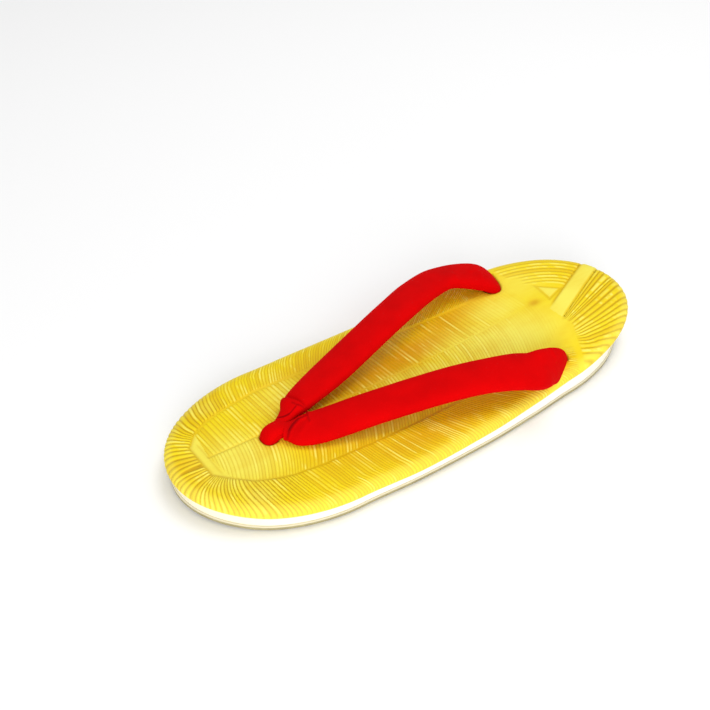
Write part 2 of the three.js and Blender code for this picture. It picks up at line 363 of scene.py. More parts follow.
LEFT_WING = (
    (1.6, -70.5, 15.0, 2.9, 2.3, -24, 6),
    (4.2, -65.0, 15.6, 3.8, 2.7, -22, 6),
    (8.3, -57.0, 16.7, 6.7, 3.2, -20, 6),
    (16.2, -32.5, 19.1, 8.8, 3.8, -16, 6),
    (26.1, -1.0, 23.3, 9.2, 3.8, -18, 6),
    (31.6, 14.7, 24.3, 9.4, 3.8, -20, 6),
    (37.2, 30.4, 24.4, 9.6, 3.8, -23, 6),
    (40.1, 46.2, 24.3, 9.5, 3.8, -21, 6),
    (37.8, 57.6, 23.0, 9.8, 3.8, -3, -1),
    (33.0, 67.8, 20.4, 10.2, 3.9, 12, -4),
    (30.6, 71.8, 16.0, 9.2, 3.8, 18, 0),
    (29.8, 72.8, 10.0, 8.0, 3.4, 18, 0),
)
THONG = (
    (0, -68.5, 14.9, 3.9, 2.5, 0, 0),
    (0, -72.6, 14.9, 4.2, 2.9, 0, 0),
    (0, -75.9, 13.8, 4.3, 3.1, 0, 0),
    (0, -77.2, 10.4, 4.0, 3.3, 0, 0),
    (0, -77.4, 4.8, 3.9, 3.4, 0, 0),
)


# %% Follow a path and sweep the padded section
SECTION_POWER = 0.8


def wing_column(rows, name):
    return np.array(rows, float)[:, WING_COLUMNS.index(name)]


def path_points(points, places):
    padded = np.vstack([2 * points[0] - points[1], points, 2 * points[-1] - points[-2]])
    i = np.minimum(places.astype(int), len(points) - 2)
    t = (places - i)[:, None]
    a, b, c, d = (padded[i + k] for k in range(4))
    ab, bc, cd = (np.linalg.norm(v, axis=1)[:, None] ** 0.5 for v in (b - a, c - b, d - c))
    start = ((b - a) / ab - (c - a) / (ab + bc) + (c - b) / bc) * bc
    end = ((c - b) / bc - (d - b) / (bc + cd) + (d - c) / cd) * bc
    return b + t * (start + t * (-3 * b + 3 * c - 2 * start - end + t * (2 * b - 2 * c + start + end)))


def unit(vectors):
    return vectors / np.linalg.norm(vectors, axis=-1, keepdims=True)


def sweep(rows, steps, around, side=1):
    rows = np.array(rows, float)
    places = np.linspace(0, len(rows) - 1, steps)
    knots = np.arange(len(rows))
    sizes = [smooth_values(places, knots, wing_column(rows, name)) for name in WING_COLUMNS[3:]]
    half, thick, turn, lean = sizes
    centre = path_points(rows[:, :3], places)
    tangent = unit(np.gradient(centre, axis=0))
    turn, lean = np.radians(turn), np.radians(lean)
    wide = np.stack([np.cos(turn), np.sin(turn), -np.tan(lean)], 1)
    wide = unit(wide - np.sum(wide * tangent, 1)[:, None] * tangent)
    above = np.cross(wide, tangent)
    angle = np.linspace(0, 2 * math.pi, around, endpoint=False)
    across = np.sign(np.cos(angle)) * np.abs(np.cos(angle)) ** SECTION_POWER
    over = np.sign(np.sin(angle)) * np.abs(np.sin(angle)) ** SECTION_POWER
    ring = centre[:, None] + half[:, None, None] * across[None, :, None] * wide[:, None]
    ring = ring + thick[:, None, None] * over[None, :, None] * above[:, None]
    ring[:, :, 0] *= side
    run = np.concatenate([[0], np.cumsum(np.linalg.norm(np.diff(centre, axis=0), axis=1))])
    return ring, run, angle


# %% [markdown]
# ## Folds in the cloth
# Cloth over padding shows where it was pulled: sharp folds where the wings are gathered at the
# thong, a step where the left wing laps over its gathers, and small wrinkles where both wings dive
# into their sockets. Each is placed one by one, in plan. A fold is a soft trough between two points,
# and the step falls away behind a line. The left wing's end is only shaded, past the line where it
# bends down.

# %% Place the folds by hand
# Columns: from_x, from_y, to_x, to_y, width, depth.
RIGHT_FOLDS = (
    (8.9, -72.5, 6.1, -69.8, 0.8, 0.8),
    (6.1, -69.8, 4.6, -67.3, 0.8, 1.0),
    (4.6, -67.3, 3.3, -63.5, 0.8, 1.1),
    (3.3, -63.5, 3.9, -60.4, 0.7, 0.9),
    (1.1, -57.5, 4.4, -59.7, 0.7, 0.8),
    (4.4, -59.7, 7.6, -60.7, 0.7, 0.6),
    (9.5, -66.5, 7.4, -63.0, 1.1, 0.3),
    (30.0, 44.0, 36.0, 41.0, 1.5, 0.25),
    (31.0, 50.5, 38.0, 50.0, 1.2, 0.30),
)
LEFT_FOLDS = (
    (-1.6, -56.6, 0.8, -57.6, 0.9, 1.0),
    (-34.6, 61.6, -38.4, 67.4, 1.0, 0.6),
    (-31.7, 50.4, -35.0, 51.5, 1.2, 0.4),
    (-28.0, 63.5, -33.0, 66.0, 1.1, 0.4),
)
# The step's line from start to end, its drop, and how far back it reaches.
GATHERED_EDGE = ((-14.5, -61.6), (0.4, -55.5), 1.4, 7.0)
LIP_RISE = 0.45
BENT_DOWN_LINE = ((-31.0, 50.0), (-40.5, 70.5))
BENT_DOWN_SHADE = 0.52
RIPPLE_WAVES = 9
RIPPLE_DEEP = 0.10
RIPPLE_SIZE = 5.0


def side_of_line(points, start, end):
    along = unit(np.subtract(end, start))
    return (points[..., 0] - start[0]) * along[1] - (points[..., 1] - start[1]) * along[0]


def near_line(points, start, end):
    along = np.subtract(end, start)
    length = np.linalg.norm(along)
    share = np.clip((points - start) @ along / length**2, 0, 1)
    return np.linalg.norm(points - start - share[..., None] * along, axis=-1)


def fold_depth(points, folds):
    depth = np.zeros(points.shape[:-1])
    for from_x, from_y, to_x, to_y, width, deep in folds:
        away = near_line(points, (from_x, from_y), (to_x, to_y))
        depth = np.maximum(depth, deep * np.exp(-((away / width) ** 2)))
    return depth


def fold_step(points, start, end, drop, reach):
    along = unit(np.subtract(end, start))
    beyond = side_of_line(points, start, end)
    share = ((points - start) @ along) / np.linalg.norm(np.subtract(end, start))
    held = soft_step(share, -0.08, 0.05) * (1 - soft_step(share, 0.95, 1.08))
    lowered = soft_step(beyond, 0.0, 0.7) * (1 - soft_step(beyond, 1.5, reach))
    lip = np.exp(-(((beyond + 0.7) / 1.0) ** 2))
    return (drop * lowered - LIP_RISE * lip) * held


def ripple(points, seed, size):
    rng = np.random.default_rng(seed)
    total = np.zeros(points.shape[:-1])
    for _ in range(RIPPLE_WAVES):
        heading = unit(rng.normal(size=3))
        total = total + np.sin(points @ heading / size * rng.uniform(0.6, 1.6) + rng.uniform(0, 6.3))
    return total / RIPPLE_WAVES


def cloth_tube(name, rows, steps, around, side, folds, seed):
    ring, run, angle = sweep(rows, steps, around, side)
    ahead = unit(np.gradient(ring, axis=0))
    round_way = unit(np.roll(ring, -1, 1) - np.roll(ring, 1, 1))
    outward = unit(np.cross(round_way, ahead)) * side
    upper = np.clip(np.sin(angle), 0, 1)[None, :] ** 0.5
    depth = fold_depth(ring[:, :, :2], folds)
    turned = 0.0
    if side < 0:
        depth = depth + fold_step(ring[:, :, :2], *GATHERED_EDGE)
        turned = BENT_DOWN_SHADE * soft_step(side_of_line(ring, *BENT_DOWN_LINE), 0.0, 2.0)
    depth = depth * upper
    swell = RIPPLE_DEEP * ripple(ring, seed, RIPPLE_SIZE) - depth
    ring = ring + outward * swell[:, :, None]
    vertices = ring.reshape(-1, 3)
    # Painted shade: darker in the folds and past the line where the left wing bends down.
    fold_shade = np.clip(depth + turned, 0, 1)
    faces = []
    for s in range(steps - 1):
        for k in range(around):
            n = (k + 1) % around
            quad = (s * around + k, (s + 1) * around + k, (s + 1) * around + n, s * around + n)
            faces.append(quad if side > 0 else quad[::-1])
    first = tuple(range(around))
    last = tuple((steps - 1) * around + k for k in range(around))
    faces += [first if side > 0 else first[::-1], last[::-1] if side > 0 else last]
    piece = new_piece(name, vertices, faces)
    attribute = piece.data.attributes.new("fold_shade", "FLOAT", "POINT")
    attribute.data.foreach_set("value", fold_shade.astype(np.float32).ravel())
    lay_cloth_map(piece, run, angle, rows)
    return piece, ring


MAP_WIDTH_FACTOR = 2.4


def lay_cloth_map(piece, run, angle, rows):
    map_width = MAP_WIDTH_FACTOR * (wing_column(rows, "half").mean() + wing_column(rows, "thick").mean())
    around = len(angle)
    along = np.repeat(run, around)
    across = np.tile(angle / (2 * math.pi) * map_width, len(run))
    layer_map = piece.data.uv_layers.new(name="cloth_map")
    index = np.zeros(len(piece.data.loops), int)
    piece.data.loops.foreach_get("vertex_index", index)
    pairs = np.stack([along[index], across[index]], 1) * MM
    layer_map.data.foreach_set("uv", pairs.astype(np.float32).ravel())


# %% Make the wings and the thong
THONG_FOLDS = ((-1.5, -74.0, 1.5, -71.5, 0.9, 0.35), (2.6, -76.0, 3.6, -72.0, 0.9, 0.4))
WING_GRID = (340, 84)
THONG_GRID = (90, 44)
right_wing, right_rings = cloth_tube("wing_right", RIGHT_WING, *WING_GRID, 1, RIGHT_FOLDS, seed=3)
left_wing, left_rings = cloth_tube("wing_left", LEFT_WING, *WING_GRID, -1, LEFT_FOLDS, seed=4)
thong, thong_rings = cloth_tube("toe_thong_loop", THONG, *THONG_GRID, 1, THONG_FOLDS, seed=5)
print("tubes:", [len(p.data.polygons) for p in (right_wing, left_wing, thong)])

# %% Join the wings where they cross
union = right_wing.modifiers.new("join", "BOOLEAN")
union.operation = "UNION"
union.solver = "EXACT"
union.object = left_wing
graph = bpy.context.evaluated_depsgraph_get()
joined = bpy.data.meshes.new_from_object(right_wing.evaluated_get(graph))
straps = bpy.data.objects.new("padded_straps", joined)
bpy.context.scene.collection.objects.link(straps)
for spent in (right_wing, left_wing):
    bpy.data.objects.remove(spent)
print("straps triangles:", sum(len(p.vertices) - 2 for p in straps.data.polygons))

# %% [markdown]
# ## The moulded top
# The top is one foam moulding with a relief that copies folded and laid straw: thick pleats round
# the toe, slanting ribs along the sides and fine ribs across an inner panel. At the heel a smooth
# band has a fan of ribs on one side and arcs round a small triangle on the other. The big shape is
# rings round the outline. The relief follows rules, so each point is told its rib number and how
# strong the ribs are there. A geometry tree then raises the ribs, and the shader reads the same
# numbers for colour and for the finest ribs.

# %% Raise the rings of the top
TOP_OVERHANG = 1.6
EDGE_PROFILE = (
    (1.8, 0.30), (1.0, 0.34), (0.4, 0.62), (0.1, 1.15), (0.0, 1.8), (0.05, 2.5), (0.3, 3.2),
    (0.75, 3.8), (1.3, 4.3), (2.1, 4.75), (3.0, 5.15), (4.0, 5.4), (5.2, 5.58), (6.6, 5.7),
)
CROWN_KNOTS = (6.6, 10.0, 16.0, 30.0, 48.0)
CROWN_RISES = (5.70, 5.84, 5.95, 6.25, 6.60)
TOP_RINGS = 76


def top_height(y, inset):
    return sole("wall", y) + smooth_values(inset, CROWN_KNOTS, CROWN_RISES)


def profile_ring(inset, rise):
    moved = edge + edge_out * (TOP_OVERHANG - inset)
    return np.column_stack([moved, sole("wall", moved[:, 1]) + rise]), np.full(len(edge), inset)


spine = spine_points(edge)
rings = [np.column_stack([spine, sole("wall", spine[:, 1]) + FIT_GAP])]
insets = [np.full(len(edge), 0.0)]
for inset, rise in EDGE_PROFILE:
    ring, depth_in = profile_ring(inset, rise)
    rings.append(ring)
    insets.append(depth_in)
shoulder = rings[-1][:, :2]
reach_in = np.linalg.norm(shoulder - spine, axis=1)
for step in range(1, TOP_RINGS + 1):
    share = step / TOP_RINGS
    flat = shoulder + (spine - shoulder) * share
    inset = EDGE_PROFILE[-1][0] + reach_in * share
    rings.append(np.column_stack([flat, top_height(flat[:, 1], inset)]))
    insets.append(inset)
top_points = np.vstack(rings)
top_inset = np.concatenate(insets)
ring_number = np.repeat(np.arange(len(rings)), len(edge))
print("top rings:", len(rings), "points:", len(top_points))

# %% [markdown]
# ## Where the zones of the relief lie
# A zone's border is a short table in the sole's own sizes. Each function below gives, for every
# point, either how far it lies inside a border or its rib number, which counts ribs as a running
# number so that one sine makes all of them.

# %% Border of the inner panel
PANEL_KNOTS = (-107.5, -101, -94.5, -87, -80, -66, -40, 0, 40, 62, 74)
PANEL_RIGHT = (6.8, 13.2, 19.0, 22.5, 24.8, 26.5, 27.0, 27.5, 27.0, 24.0, 17.0)
PANEL_LEFT = (-12.7, -20.5, -24.5, -27.0, -28.5, -31.0, -31.4, -30.0, -27.0, -25.0, -22.0)
X, Y = top_points[:, 0], top_points[:, 1]


panel_right = np.interp(Y, PANEL_KNOTS, PANEL_RIGHT)
panel_left = np.interp(Y, PANEL_KNOTS, PANEL_LEFT)
slant_right = 1 / np.hypot(1, np.interp(Y, PANEL_KNOTS, np.gradient(PANEL_RIGHT, PANEL_KNOTS)))
slant_left = 1 / np.hypot(1, np.interp(Y, PANEL_KNOTS, np.gradient(PANEL_LEFT, PANEL_KNOTS)))
into_right = (panel_right - X) * slant_right
into_left = (X - panel_left) * slant_left
into_panel = np.minimum(np.minimum(into_right, into_left), Y - PANEL_KNOTS[0])
on_face = soft_step(ring_number, 3, 7)

# %% Rib numbers of the rim
ARC_KNOTS = (0, 10, 20, 30, 42, 55, 84, 130, 170, 200, 225, 260)
SLANT_RIGHT = (-0.15, 0.10, 0.90, 1.05, 0.92, 0.80, 0.55, 0.50, 0.62, 0.95, 1.30, 1.60)
SLANT_LEFT = (-0.15, 0.00, 0.10, 0.80, 0.95, 0.90, 0.85, 1.00, 1.00, 1.00, 1.10, 1.20)
PITCH_KNOTS = (0, 45, 62, 90, 300)
PITCH_RIGHT = (2.60, 2.30, 1.70, 1.45, 1.50)
PITCH_LEFT = (3.20, 3.10, 2.10, 1.60, 1.50)


def uneven(places):
    return places + 0.35 * np.sin(places / 2.7) + 0.30 * np.sin(places / 5.3 + 1.0)


def rim_ribs():
    toe_start = edge_run[np.argmin(edge[:, 1])]
    length = edge_run[-1] + (edge_run[1] - edge_run[0])
    signed = (edge_run - toe_start + length / 2) % length - length / 2
    signed = np.tile(signed, len(rings))
    arc = np.abs(signed)
    right = smooth_values(arc, ARC_KNOTS, SLANT_RIGHT)
    left = smooth_values(arc, ARC_KNOTS, SLANT_LEFT)
    slanted = uneven(arc + np.where(signed > 0, right, left) * top_inset)
    fine = np.linspace(0, 420, 4001)
    counts = []
    for pitch in (PITCH_RIGHT, PITCH_LEFT):
        ribs_in_step = (fine[1] - fine[0]) / np.interp(fine[1:], PITCH_KNOTS, pitch)
        counts.append(np.interp(slanted, fine, np.concatenate([[0], np.cumsum(ribs_in_step)])))
    return np.where(signed > 0, counts[0], -counts[1]), arc


rim_number, rim_arc = rim_ribs()

# %% Rib numbers of the panel
SPINE_X = -4.0
PANEL_PITCH_RIGHT = 1.55
PANEL_PITCH_LEFT = 1.9
off_spine = X - SPINE_X
right_rise = 0.13 * off_spine + 0.0085 * off_spine**2
panel_right_number = uneven(Y + right_rise) / PANEL_PITCH_RIGHT
panel_left_number = uneven(Y - 0.03 * off_spine) / PANEL_PITCH_LEFT
panel_number = np.where(off_spine > 0, panel_right_number, panel_left_number)

# %% Rib numbers of the heel fan
FAN_START_Y = 79.0
# Columns: start_x, slope, bend, front_bend, ribs.
FAN_LINES = (
    (9.0, -0.469, 0.0000, 0.00, -2),
    (13.9, -0.469, 0.0000, 0.00, 0),
    (15.6, -0.370, 0.0004, 0.00, 2),
    (16.6, -0.300, 0.0000, 0.00, 3),
    (18.0, -0.200, 0.0015, 0.00, 5),
    (20.0, -0.150, 0.0018, 0.00, 6),
    (24.6, -0.040, 0.0025, 0.02, 8),
    (27.9, 0.100, 0.0045, 0.05, 10),
    (32.0, 0.200, 0.0070, 0.09, 12),
    (36.5, 0.380, 0.0190, 0.07, 14),
    (39.6, 0.300, 0.0200, 0.05, 15),
    (47.0, 0.200, 0.0120, 0.00, 18),
)
fan_front = 77 - 0.60 * np.clip(X - 21, 0, 22)


def fan_ribs():
    start, slope, bend, front_bend, ribs_so_far = np.array(FAN_LINES).T
    along = np.clip(Y - FAN_START_Y, 0, None)
    before = np.clip(Y - FAN_START_Y, None, 0)
    places = start + np.outer(along, slope) - np.outer(along**2, bend) - np.outer(before**2, front_bend)
    number = np.full(len(X), -1.0)
    for i in range(len(start) - 1):
        low, high = places[:, i], places[:, i + 1]
        inside = (X >= low) & (X < high)
        share = (X - low) / np.maximum(high - low, 0.01)
        counted = ribs_so_far[i] + share * (ribs_so_far[i + 1] - ribs_so_far[i])
        number = np.where(inside, counted, number)
    return number


fan_number = fan_ribs()
in_fan = (Y > fan_front) & (fan_number >= 0) & (X > 6)
in_fan |= (Y > 95) & (fan_number >= 0)


# %% Heel band, heel patch and knot
def side_of(start, end):
    (ax, ay), (bx, by) = start, end
    length = math.hypot(bx - ax, by - ay)
    return ((X - ax) * (by - ay) - (Y - ay) * (bx - ax)) / length


band_from_fan = -side_of((13.2, 80.5), (-5.2, 119.7))
band_from_patch = side_of((2.3, 83.0), (-13.0, 116.3))
into_band = np.minimum(band_from_fan, band_from_patch)
band_start = soft_step(Y + 0.3 * X, 80.0, 85.0)
TRIANGLE = ((-3.5, 92.8), (-0.4, 83.0), (-12.6, 84.8))
triangle = np.min([side_of(TRIANGLE[k - 1], TRIANGLE[k]) for k in range(3)], axis=0)
ARC_PITCH = 2.8
arc_reach = 17 + 9 * soft_step(X, -26, -14)
arc_fade = soft_step(Y, 76, 84) * soft_step(top_inset, 2, 5) * soft_step(arc_reach - top_inset, 0, 4)
knot = np.exp(-(((X + 3.2) / 2.0) ** 2 + ((Y - 75.5) / 2.8) ** 2))
print("band half width, mm:", round(float(into_band.max()), 1))

# %% Choose the zone of each point
PLEAT_DEPTH = 0.50
SIDE_RIB_DEPTH = 0.16
PANEL_RIB_DEPTH = 0.13
FAN_RIB_DEPTH = 0.42
ARC_RIB_DEPTH = 0.26
in_panel = into_panel > 0
heel_calm = 1 - 0.70 * soft_step(Y, 30, 66) * soft_step(into_panel, -3, 2)
rib_number = np.where(in_panel, panel_number, rim_number)
rim_depth = np.interp(rim_arc, (0, 48, 66), (PLEAT_DEPTH, PLEAT_DEPTH, SIDE_RIB_DEPTH))
rib_depth = np.where(in_panel, PANEL_RIB_DEPTH, rim_depth)
facet = in_panel & (Y < -103.4 + 0.12 * np.abs(X + 3))
rib_depth = np.where(facet, 0.0, rib_depth) * heel_calm
rib_depth = rib_depth * soft_step(np.abs(into_panel), 0.1, 1.3)
rib_depth = np.where(in_panel, rib_depth * soft_step(np.abs(off_spine), 0.0, 1.0), rib_depth)
zone_end = np.where(X > 13, fan_front, 76.0)
rib_depth = rib_depth * soft_step(zone_end - Y, 0.3, 5.0)
beside_strap = soft_step(Y, 48, 60) * soft_step(36 - X, 0, 8) * (X > 13) * (into_panel < 0)
rib_depth = rib_depth * (1 - 0.8 * beside_strap)
after_hub = soft_step(Y - fan_front, 0.0, 5)
rib_number = np.where(in_fan, fan_number, rib_number)
rib_depth = np.where(in_fan, FAN_RIB_DEPTH * after_hub, rib_depth)
left_heel = (Y > 76) & (X < 13) & ~in_fan & (into_band < 0)
rib_number = np.where(left_heel, top_inset / ARC_PITCH, rib_number)
arc_depth = ARC_RIB_DEPTH * arc_fade * soft_step(-triangle, 0.0, 1.0)
rib_depth = np.where(left_heel, arc_depth, rib_depth)
rib_depth = np.where((into_band > -0.3) & (Y > 80), 0.0, rib_depth) * on_face


# %% Grooves between the zones
def groove(distance, width):
    return np.exp(-((distance / width) ** 2))


edge_line = groove(into_panel, 0.8) * np.interp(Y, (-109, -108, -75, -30, 45), (0, 0.9, 0.8, 0.35, 0))
spine_line = 0.7 * groove(off_spine, 0.8) * soft_step(-Y, 60, 66) * soft_step(Y, -104.5, -103) * in_panel
facet_line = groove(Y + 103.6, 0.5) * soft_step(-np.abs(X + 3), -13, -9) * in_panel
band_lines = np.maximum(groove(band_from_fan, 0.8), groove(band_from_patch, 0.9)) * band_start
band_lines = band_lines * (into_band > -2)
patch_lines = groove(triangle, 0.8) * (np.hypot(X + 6, Y - 87) < 12)
grooves = (edge_line + spine_line + 0.6 * facet_line + band_lines + 0.8 * patch_lines) * on_face
step_up = -0.40 * soft_step(into_panel, -0.3, 1.0) * (1 - soft_step(Y, 30, 66)) * (Y > -109)
band_up = 0.35 * soft_step(into_band, -0.2, 0.8) * band_start
base_relief = (step_up + band_up) * on_face - 0.35 * grooves - 0.25 * knot


# %% [markdown]
# ## Holes for the cloth ends
# The wings and the thong go down through the foam. The section in which a tube crosses the top is
# worked out from the tube itself, and the foam is drawn down steeply inside it and rolls in
# softly round it, as soft foam does where a strap is pulled through. It is a deep dent and not a
# hole: the cloth goes on through its floor and into the wedge, where it isn't seen.

# %% Draw the foam down round each cloth end
HOLE_DEEP = 4.2
HOLE_ROLL = 0.30


def crossing(cloth_rings):
    steps = cloth_rings.shape[0]
    found = []
    for k in range(cloth_rings.shape[1]):
        line = cloth_rings[:, k]
        over = line[:, 2] - (sole("wall", line[:, 1]) + EDGE_PROFILE[-1][1])
        under = np.nonzero(over < 0)[0]
        under = under[under > steps * 0.45]
        i = under[0] if len(under) else steps - 1
        found.append(line[i, :2])
    return np.array(found)


def inside_distance(loop):
    nearest = np.full(len(X), 1e9)
    turns = np.zeros(len(X))
    for a, b in zip(loop, np.roll(loop, -1, 0)):
        along = b - a
        off_x, off_y = X - a[0], Y - a[1]
        share = (off_x * along[0] + off_y * along[1]) / max(along @ along, 1e-9)
        share = np.clip(share, 0, 1)
        nearest = np.minimum(nearest, np.hypot(off_x - share * along[0], off_y - share * along[1]))
        crosses = (a[1] > Y) != (b[1] > Y)
        at_x = a[0] + off_y / np.where(abs(along[1]) < 1e-9, 1e-9, along[1]) * along[0]
        turns = np.where(crosses & (X < at_x), turns + 1, turns)
    return np.where(turns % 2 == 1, nearest, -nearest)


hole_shade = np.zeros(len(X))
hole_drop = np.zeros(len(X))
for cloth_rings in (right_rings, left_rings, thong_rings):
    inside = inside_distance(crossing(cloth_rings))
    hole_drop = np.maximum(hole_drop, HOLE_DEEP * soft_step(inside, -0.5, 0.9))
    hole_drop = np.maximum(hole_drop, HOLE_ROLL * soft_step(inside, -3.0, -0.5))
    hole_shade = np.maximum(hole_shade, soft_step(inside, -1.4, 0.2))
on_top = ring_number > len(EDGE_PROFILE)
base_relief = base_relief - np.where(on_top, hole_drop, 0)
rib_depth = rib_depth * (1 - soft_step(hole_shade, 0.2, 0.9))
print("deepest point of the holes, mm:", round(float(hole_drop.max()), 2))

# %% [markdown]
# ## Soft patches of colour
# The moulding is sprayed lemon all over. Along both sides of the straps it is golden brown, partly
# sprayed colour and partly painted shade from the straps. It is paler over the toes and the heel, and
# painted light runs along the rolled edge. Each patch is a soft oval in the sole's own sizes.

# %% Spray the patches
# Columns: x, y, half_x, half_y, turn, strength.
# Golden brown beside the straps is partly sprayed colour and partly painted shade.
BROWN_PATCHES = (
    (-12, 2, 9, 44, 6, 1.00),
    (-20, 34, 8, 26, 10, 0.75),
    (36, -8, 9, 46, 0, 0.75),
    (30, -45, 10, 30, 0, 0.45),
    (24, -66, 6, 12, 0, 0.30),
    (-34, -40, 6, 26, 8, 0.35),
    (-27, 56, 5, 9, 0, 0.60),
    (34, 30, 8, 16, 0, 0.75),
)
PALE_PATCHES = (
    (6, 48, 17, 30, -16, 1.00),
    (-12, 58, 12, 16, 0, 0.75),
    (-20, 78, 14, 13, 0, 0.50),
    (12, 68, 14, 10, 0, 0.55),
    (4, 8, 6, 26, -14, 0.55),
    (-24, 4, 4, 30, 22, 0.55),
    (21, -36, 4, 22, -8, 0.50),
    (5, -93, 17, 17, 0, 1.00),
    (-20, -58, 11, 16, 0, 0.55),
    (28, -98, 7, 6, 0, 0.80),
    (-33, -90, 5, 6, 0, 0.50),
)


def oval_patches(patches):
    total = np.zeros(len(X))
    for x, y, half_x, half_y, turn, strength in patches:
        c, s = math.cos(math.radians(turn)), math.sin(math.radians(turn))
        u = ((X - x) * c + (Y - y) * s) / half_x
        v = (-(X - x) * s + (Y - y) * c) / half_y
        total = np.maximum(total, strength * np.exp(-((u * u + v * v) ** 1.2)))
    return total


# Golden brown, partly sprayed colour and partly painted shade beside the straps; the knot is brown too.
brown = np.maximum(oval_patches(BROWN_PATCHES), 0.8 * knot)
pale = oval_patches(PALE_PATCHES)
pale = np.maximum(pale, 0.9 * soft_step(into_band, 0, 1) * (Y > 78) + 0.8 * facet * on_face)
pale = np.maximum(pale, 0.9 * soft_step(triangle, 0.2, 1.0))
shade_line = np.clip(grooves + 0.9 * knot, 0, 1)

# %% Write the mesh with its rib numbers
top = new_piece("moulded_top", top_points, ring_faces(len(rings), len(edge)))
for name, values in (
    ("rib_number", rib_number), ("rib_depth", rib_depth), ("base_relief", base_relief),
    ("brown", brown), ("pale", pale), ("shade_line", shade_line), ("hole_shade", hole_shade * on_top),
    # Painted light along the rolled edge, where it turns to the side light.
    ("painted_rim_light", soft_step(-top_inset, -5.0, -1.5)),
):
    attribute = top.data.attributes.new(name, "FLOAT", "POINT")
    attribute.data.foreach_set("value", values.astype(np.float32))
merge_doubles(top)


# %% [markdown]
# ## A geometry tree that raises the ribs
# Geometry Nodes suit a relief that follows one rule: the tree reads each point's rib number, makes
# a rounded ridge of it, and moves the point along its normal. The ribs' height is an input, so it
# can be tried without touching the arrays.

# %% Build the tree
RELIEF_INPUTS = (("Relief scale", 1.0), ("Ridge roundness", 0.55))


def relief_tree(material):
    tree = bpy.data.node_groups.new("moulded_relief", "GeometryNodeTree")
    tree.interface.new_socket("Geometry", in_out="INPUT", socket_type="NodeSocketGeometry")
    for name, value in RELIEF_INPUTS:
        socket = tree.interface.new_socket(name, in_out="INPUT", socket_type="NodeSocketFloat")
        socket.default_value = value
    tree.interface.new_socket("Geometry", in_out="OUTPUT", socket_type="NodeSocketGeometry")
    start = Wire(tree)
    given = tree.nodes.new("NodeGroupInput")
    shape, scale, roundness = (Wire(tree, given.outputs[k]) for k in range(3))

    def named(name):
        return start.node("GeometryNodeInputNamedAttribute", {"data_type": "FLOAT"}, {"Name": name})

    wave = (named("rib_number") * math.pi).maths("SINE").maths("ABSOLUTE").maths("POWER", roundness)
    height = (wave * 2.0 - 1.0) * named("rib_depth") * 0.5 + named("base_relief")
    normal = start.node("GeometryNodeInputNormal")
    offset = start.node(
        "ShaderNodeVectorMath", {"operation": "SCALE"}, {0: normal, "Scale": height * scale * MM}
    )
    moved = start.node("GeometryNodeSetPosition", None, {"Geometry": shape, "Offset": offset})
    solid = start.node("GeometryNodeRealizeInstances", None, {"Geometry": moved})
    dressed = start.node("GeometryNodeSetMaterial", None, {"Geometry": solid, "Material": material})
    result = tree.nodes.new("NodeGroupOutput")
    tree.links.new(dressed.socket, result.inputs[0])
    return tree


# %% [markdown]
# ## Finish of the moulded top
# Foam that is moulded and sprayed has a satin skin. The grooves get painted shade in deeper gold, the
# ridges a painted highlight in broken pale streaks, and single ribs are paler than their neighbours.
# The colour follows the same rib numbers as the shape, so the two never drift apart.


# %% Fill the top's material
def attribute_of(start, name):
    return start.node("ShaderNodeAttribute", {"attribute_name": name}, output=2)


def top_finish():
    material, start, shader = new_finish("sprayed_foam", {"Specular IOR Level": 0.14})
    number = attribute_of(start, "rib_number")
    strength = attribute_of(start, "rib_depth").between(0.0, 0.12)
    calm = 1 - attribute_of(start, "pale") * 0.5
    ridge = (number * math.pi).maths("SINE").maths("ABSOLUTE")
    settings = {"noise_dimensions": "1D"}
    single = start.node("ShaderNodeTexWhiteNoise", settings, {"W": number.maths("FLOOR")})
    broken = grain(start, 150.0, 3.0, (0.30, 1.0, 1.0)).between(0.44, 0.60)
    streak = single.between(0.20, 0.95) * broken
    deep = attribute_of(start, "rib_depth").between(0.16, 0.45)
    cloud = grain(start, 90.0, 3.0, (1.0, 0.35, 1.0))
    lemon = start.node("ShaderNodeRGB")
    lemon.socket.default_value = linear(240, 215, 12)
    # Golden brown: partly sprayed colour, partly painted shade beside the straps.
    colour = mix(attribute_of(start, "brown"), lemon, linear(218, 152, 2))
    colour = mix(attribute_of(start, "pale"), colour, linear(243, 232, 92))
    colour = mix(cloud.between(0.35, 0.75) * 0.35, colour, linear(230, 186, 4))
    colour = mix((1 - single.between(0.0, 0.4)) * strength * calm * 0.4, colour, linear(216, 166, 2))
    # Painted shade in the grooves, deeper where the pleats are deep.
    colour = mix((1 - ridge.between(0.0, 0.75)) * strength * calm * 0.6, colour, linear(206, 158, 4))
    colour = mix((1 - ridge.between(0.0, 0.85)) * deep * 0.6, colour, linear(190, 142, 4))
    # Painted highlight: broken pale streaks on the crests of the ribs.
    colour = mix(ridge.between(0.5, 1.0) * streak * strength * 0.75, colour, linear(250, 238, 110))
    colour = mix(attribute_of(start, "shade_line") * 0.55, colour, linear(206, 158, 0))
    colour = mix(attribute_of(start, "hole_shade") * 0.6, colour, linear(130, 80, 2))
    # Painted light along the rolled edge of the top.
    colour = mix(attribute_of(start, "painted_rim_light") * 0.30, colour, linear(246, 234, 110))
    speck = grain(start, 1600.0, 2.0)
    height = ridge * strength * 0.6 + speck * 0.12 + streak * strength * 0.25
    roughness = 0.40 + cloud * 0.20 + (1 - ridge) * 0.10
    finish_with(start, shader, colour, roughness, height, 0.00022)
    return material


foam_top = top_finish()
top.data.materials.append(foam_top)

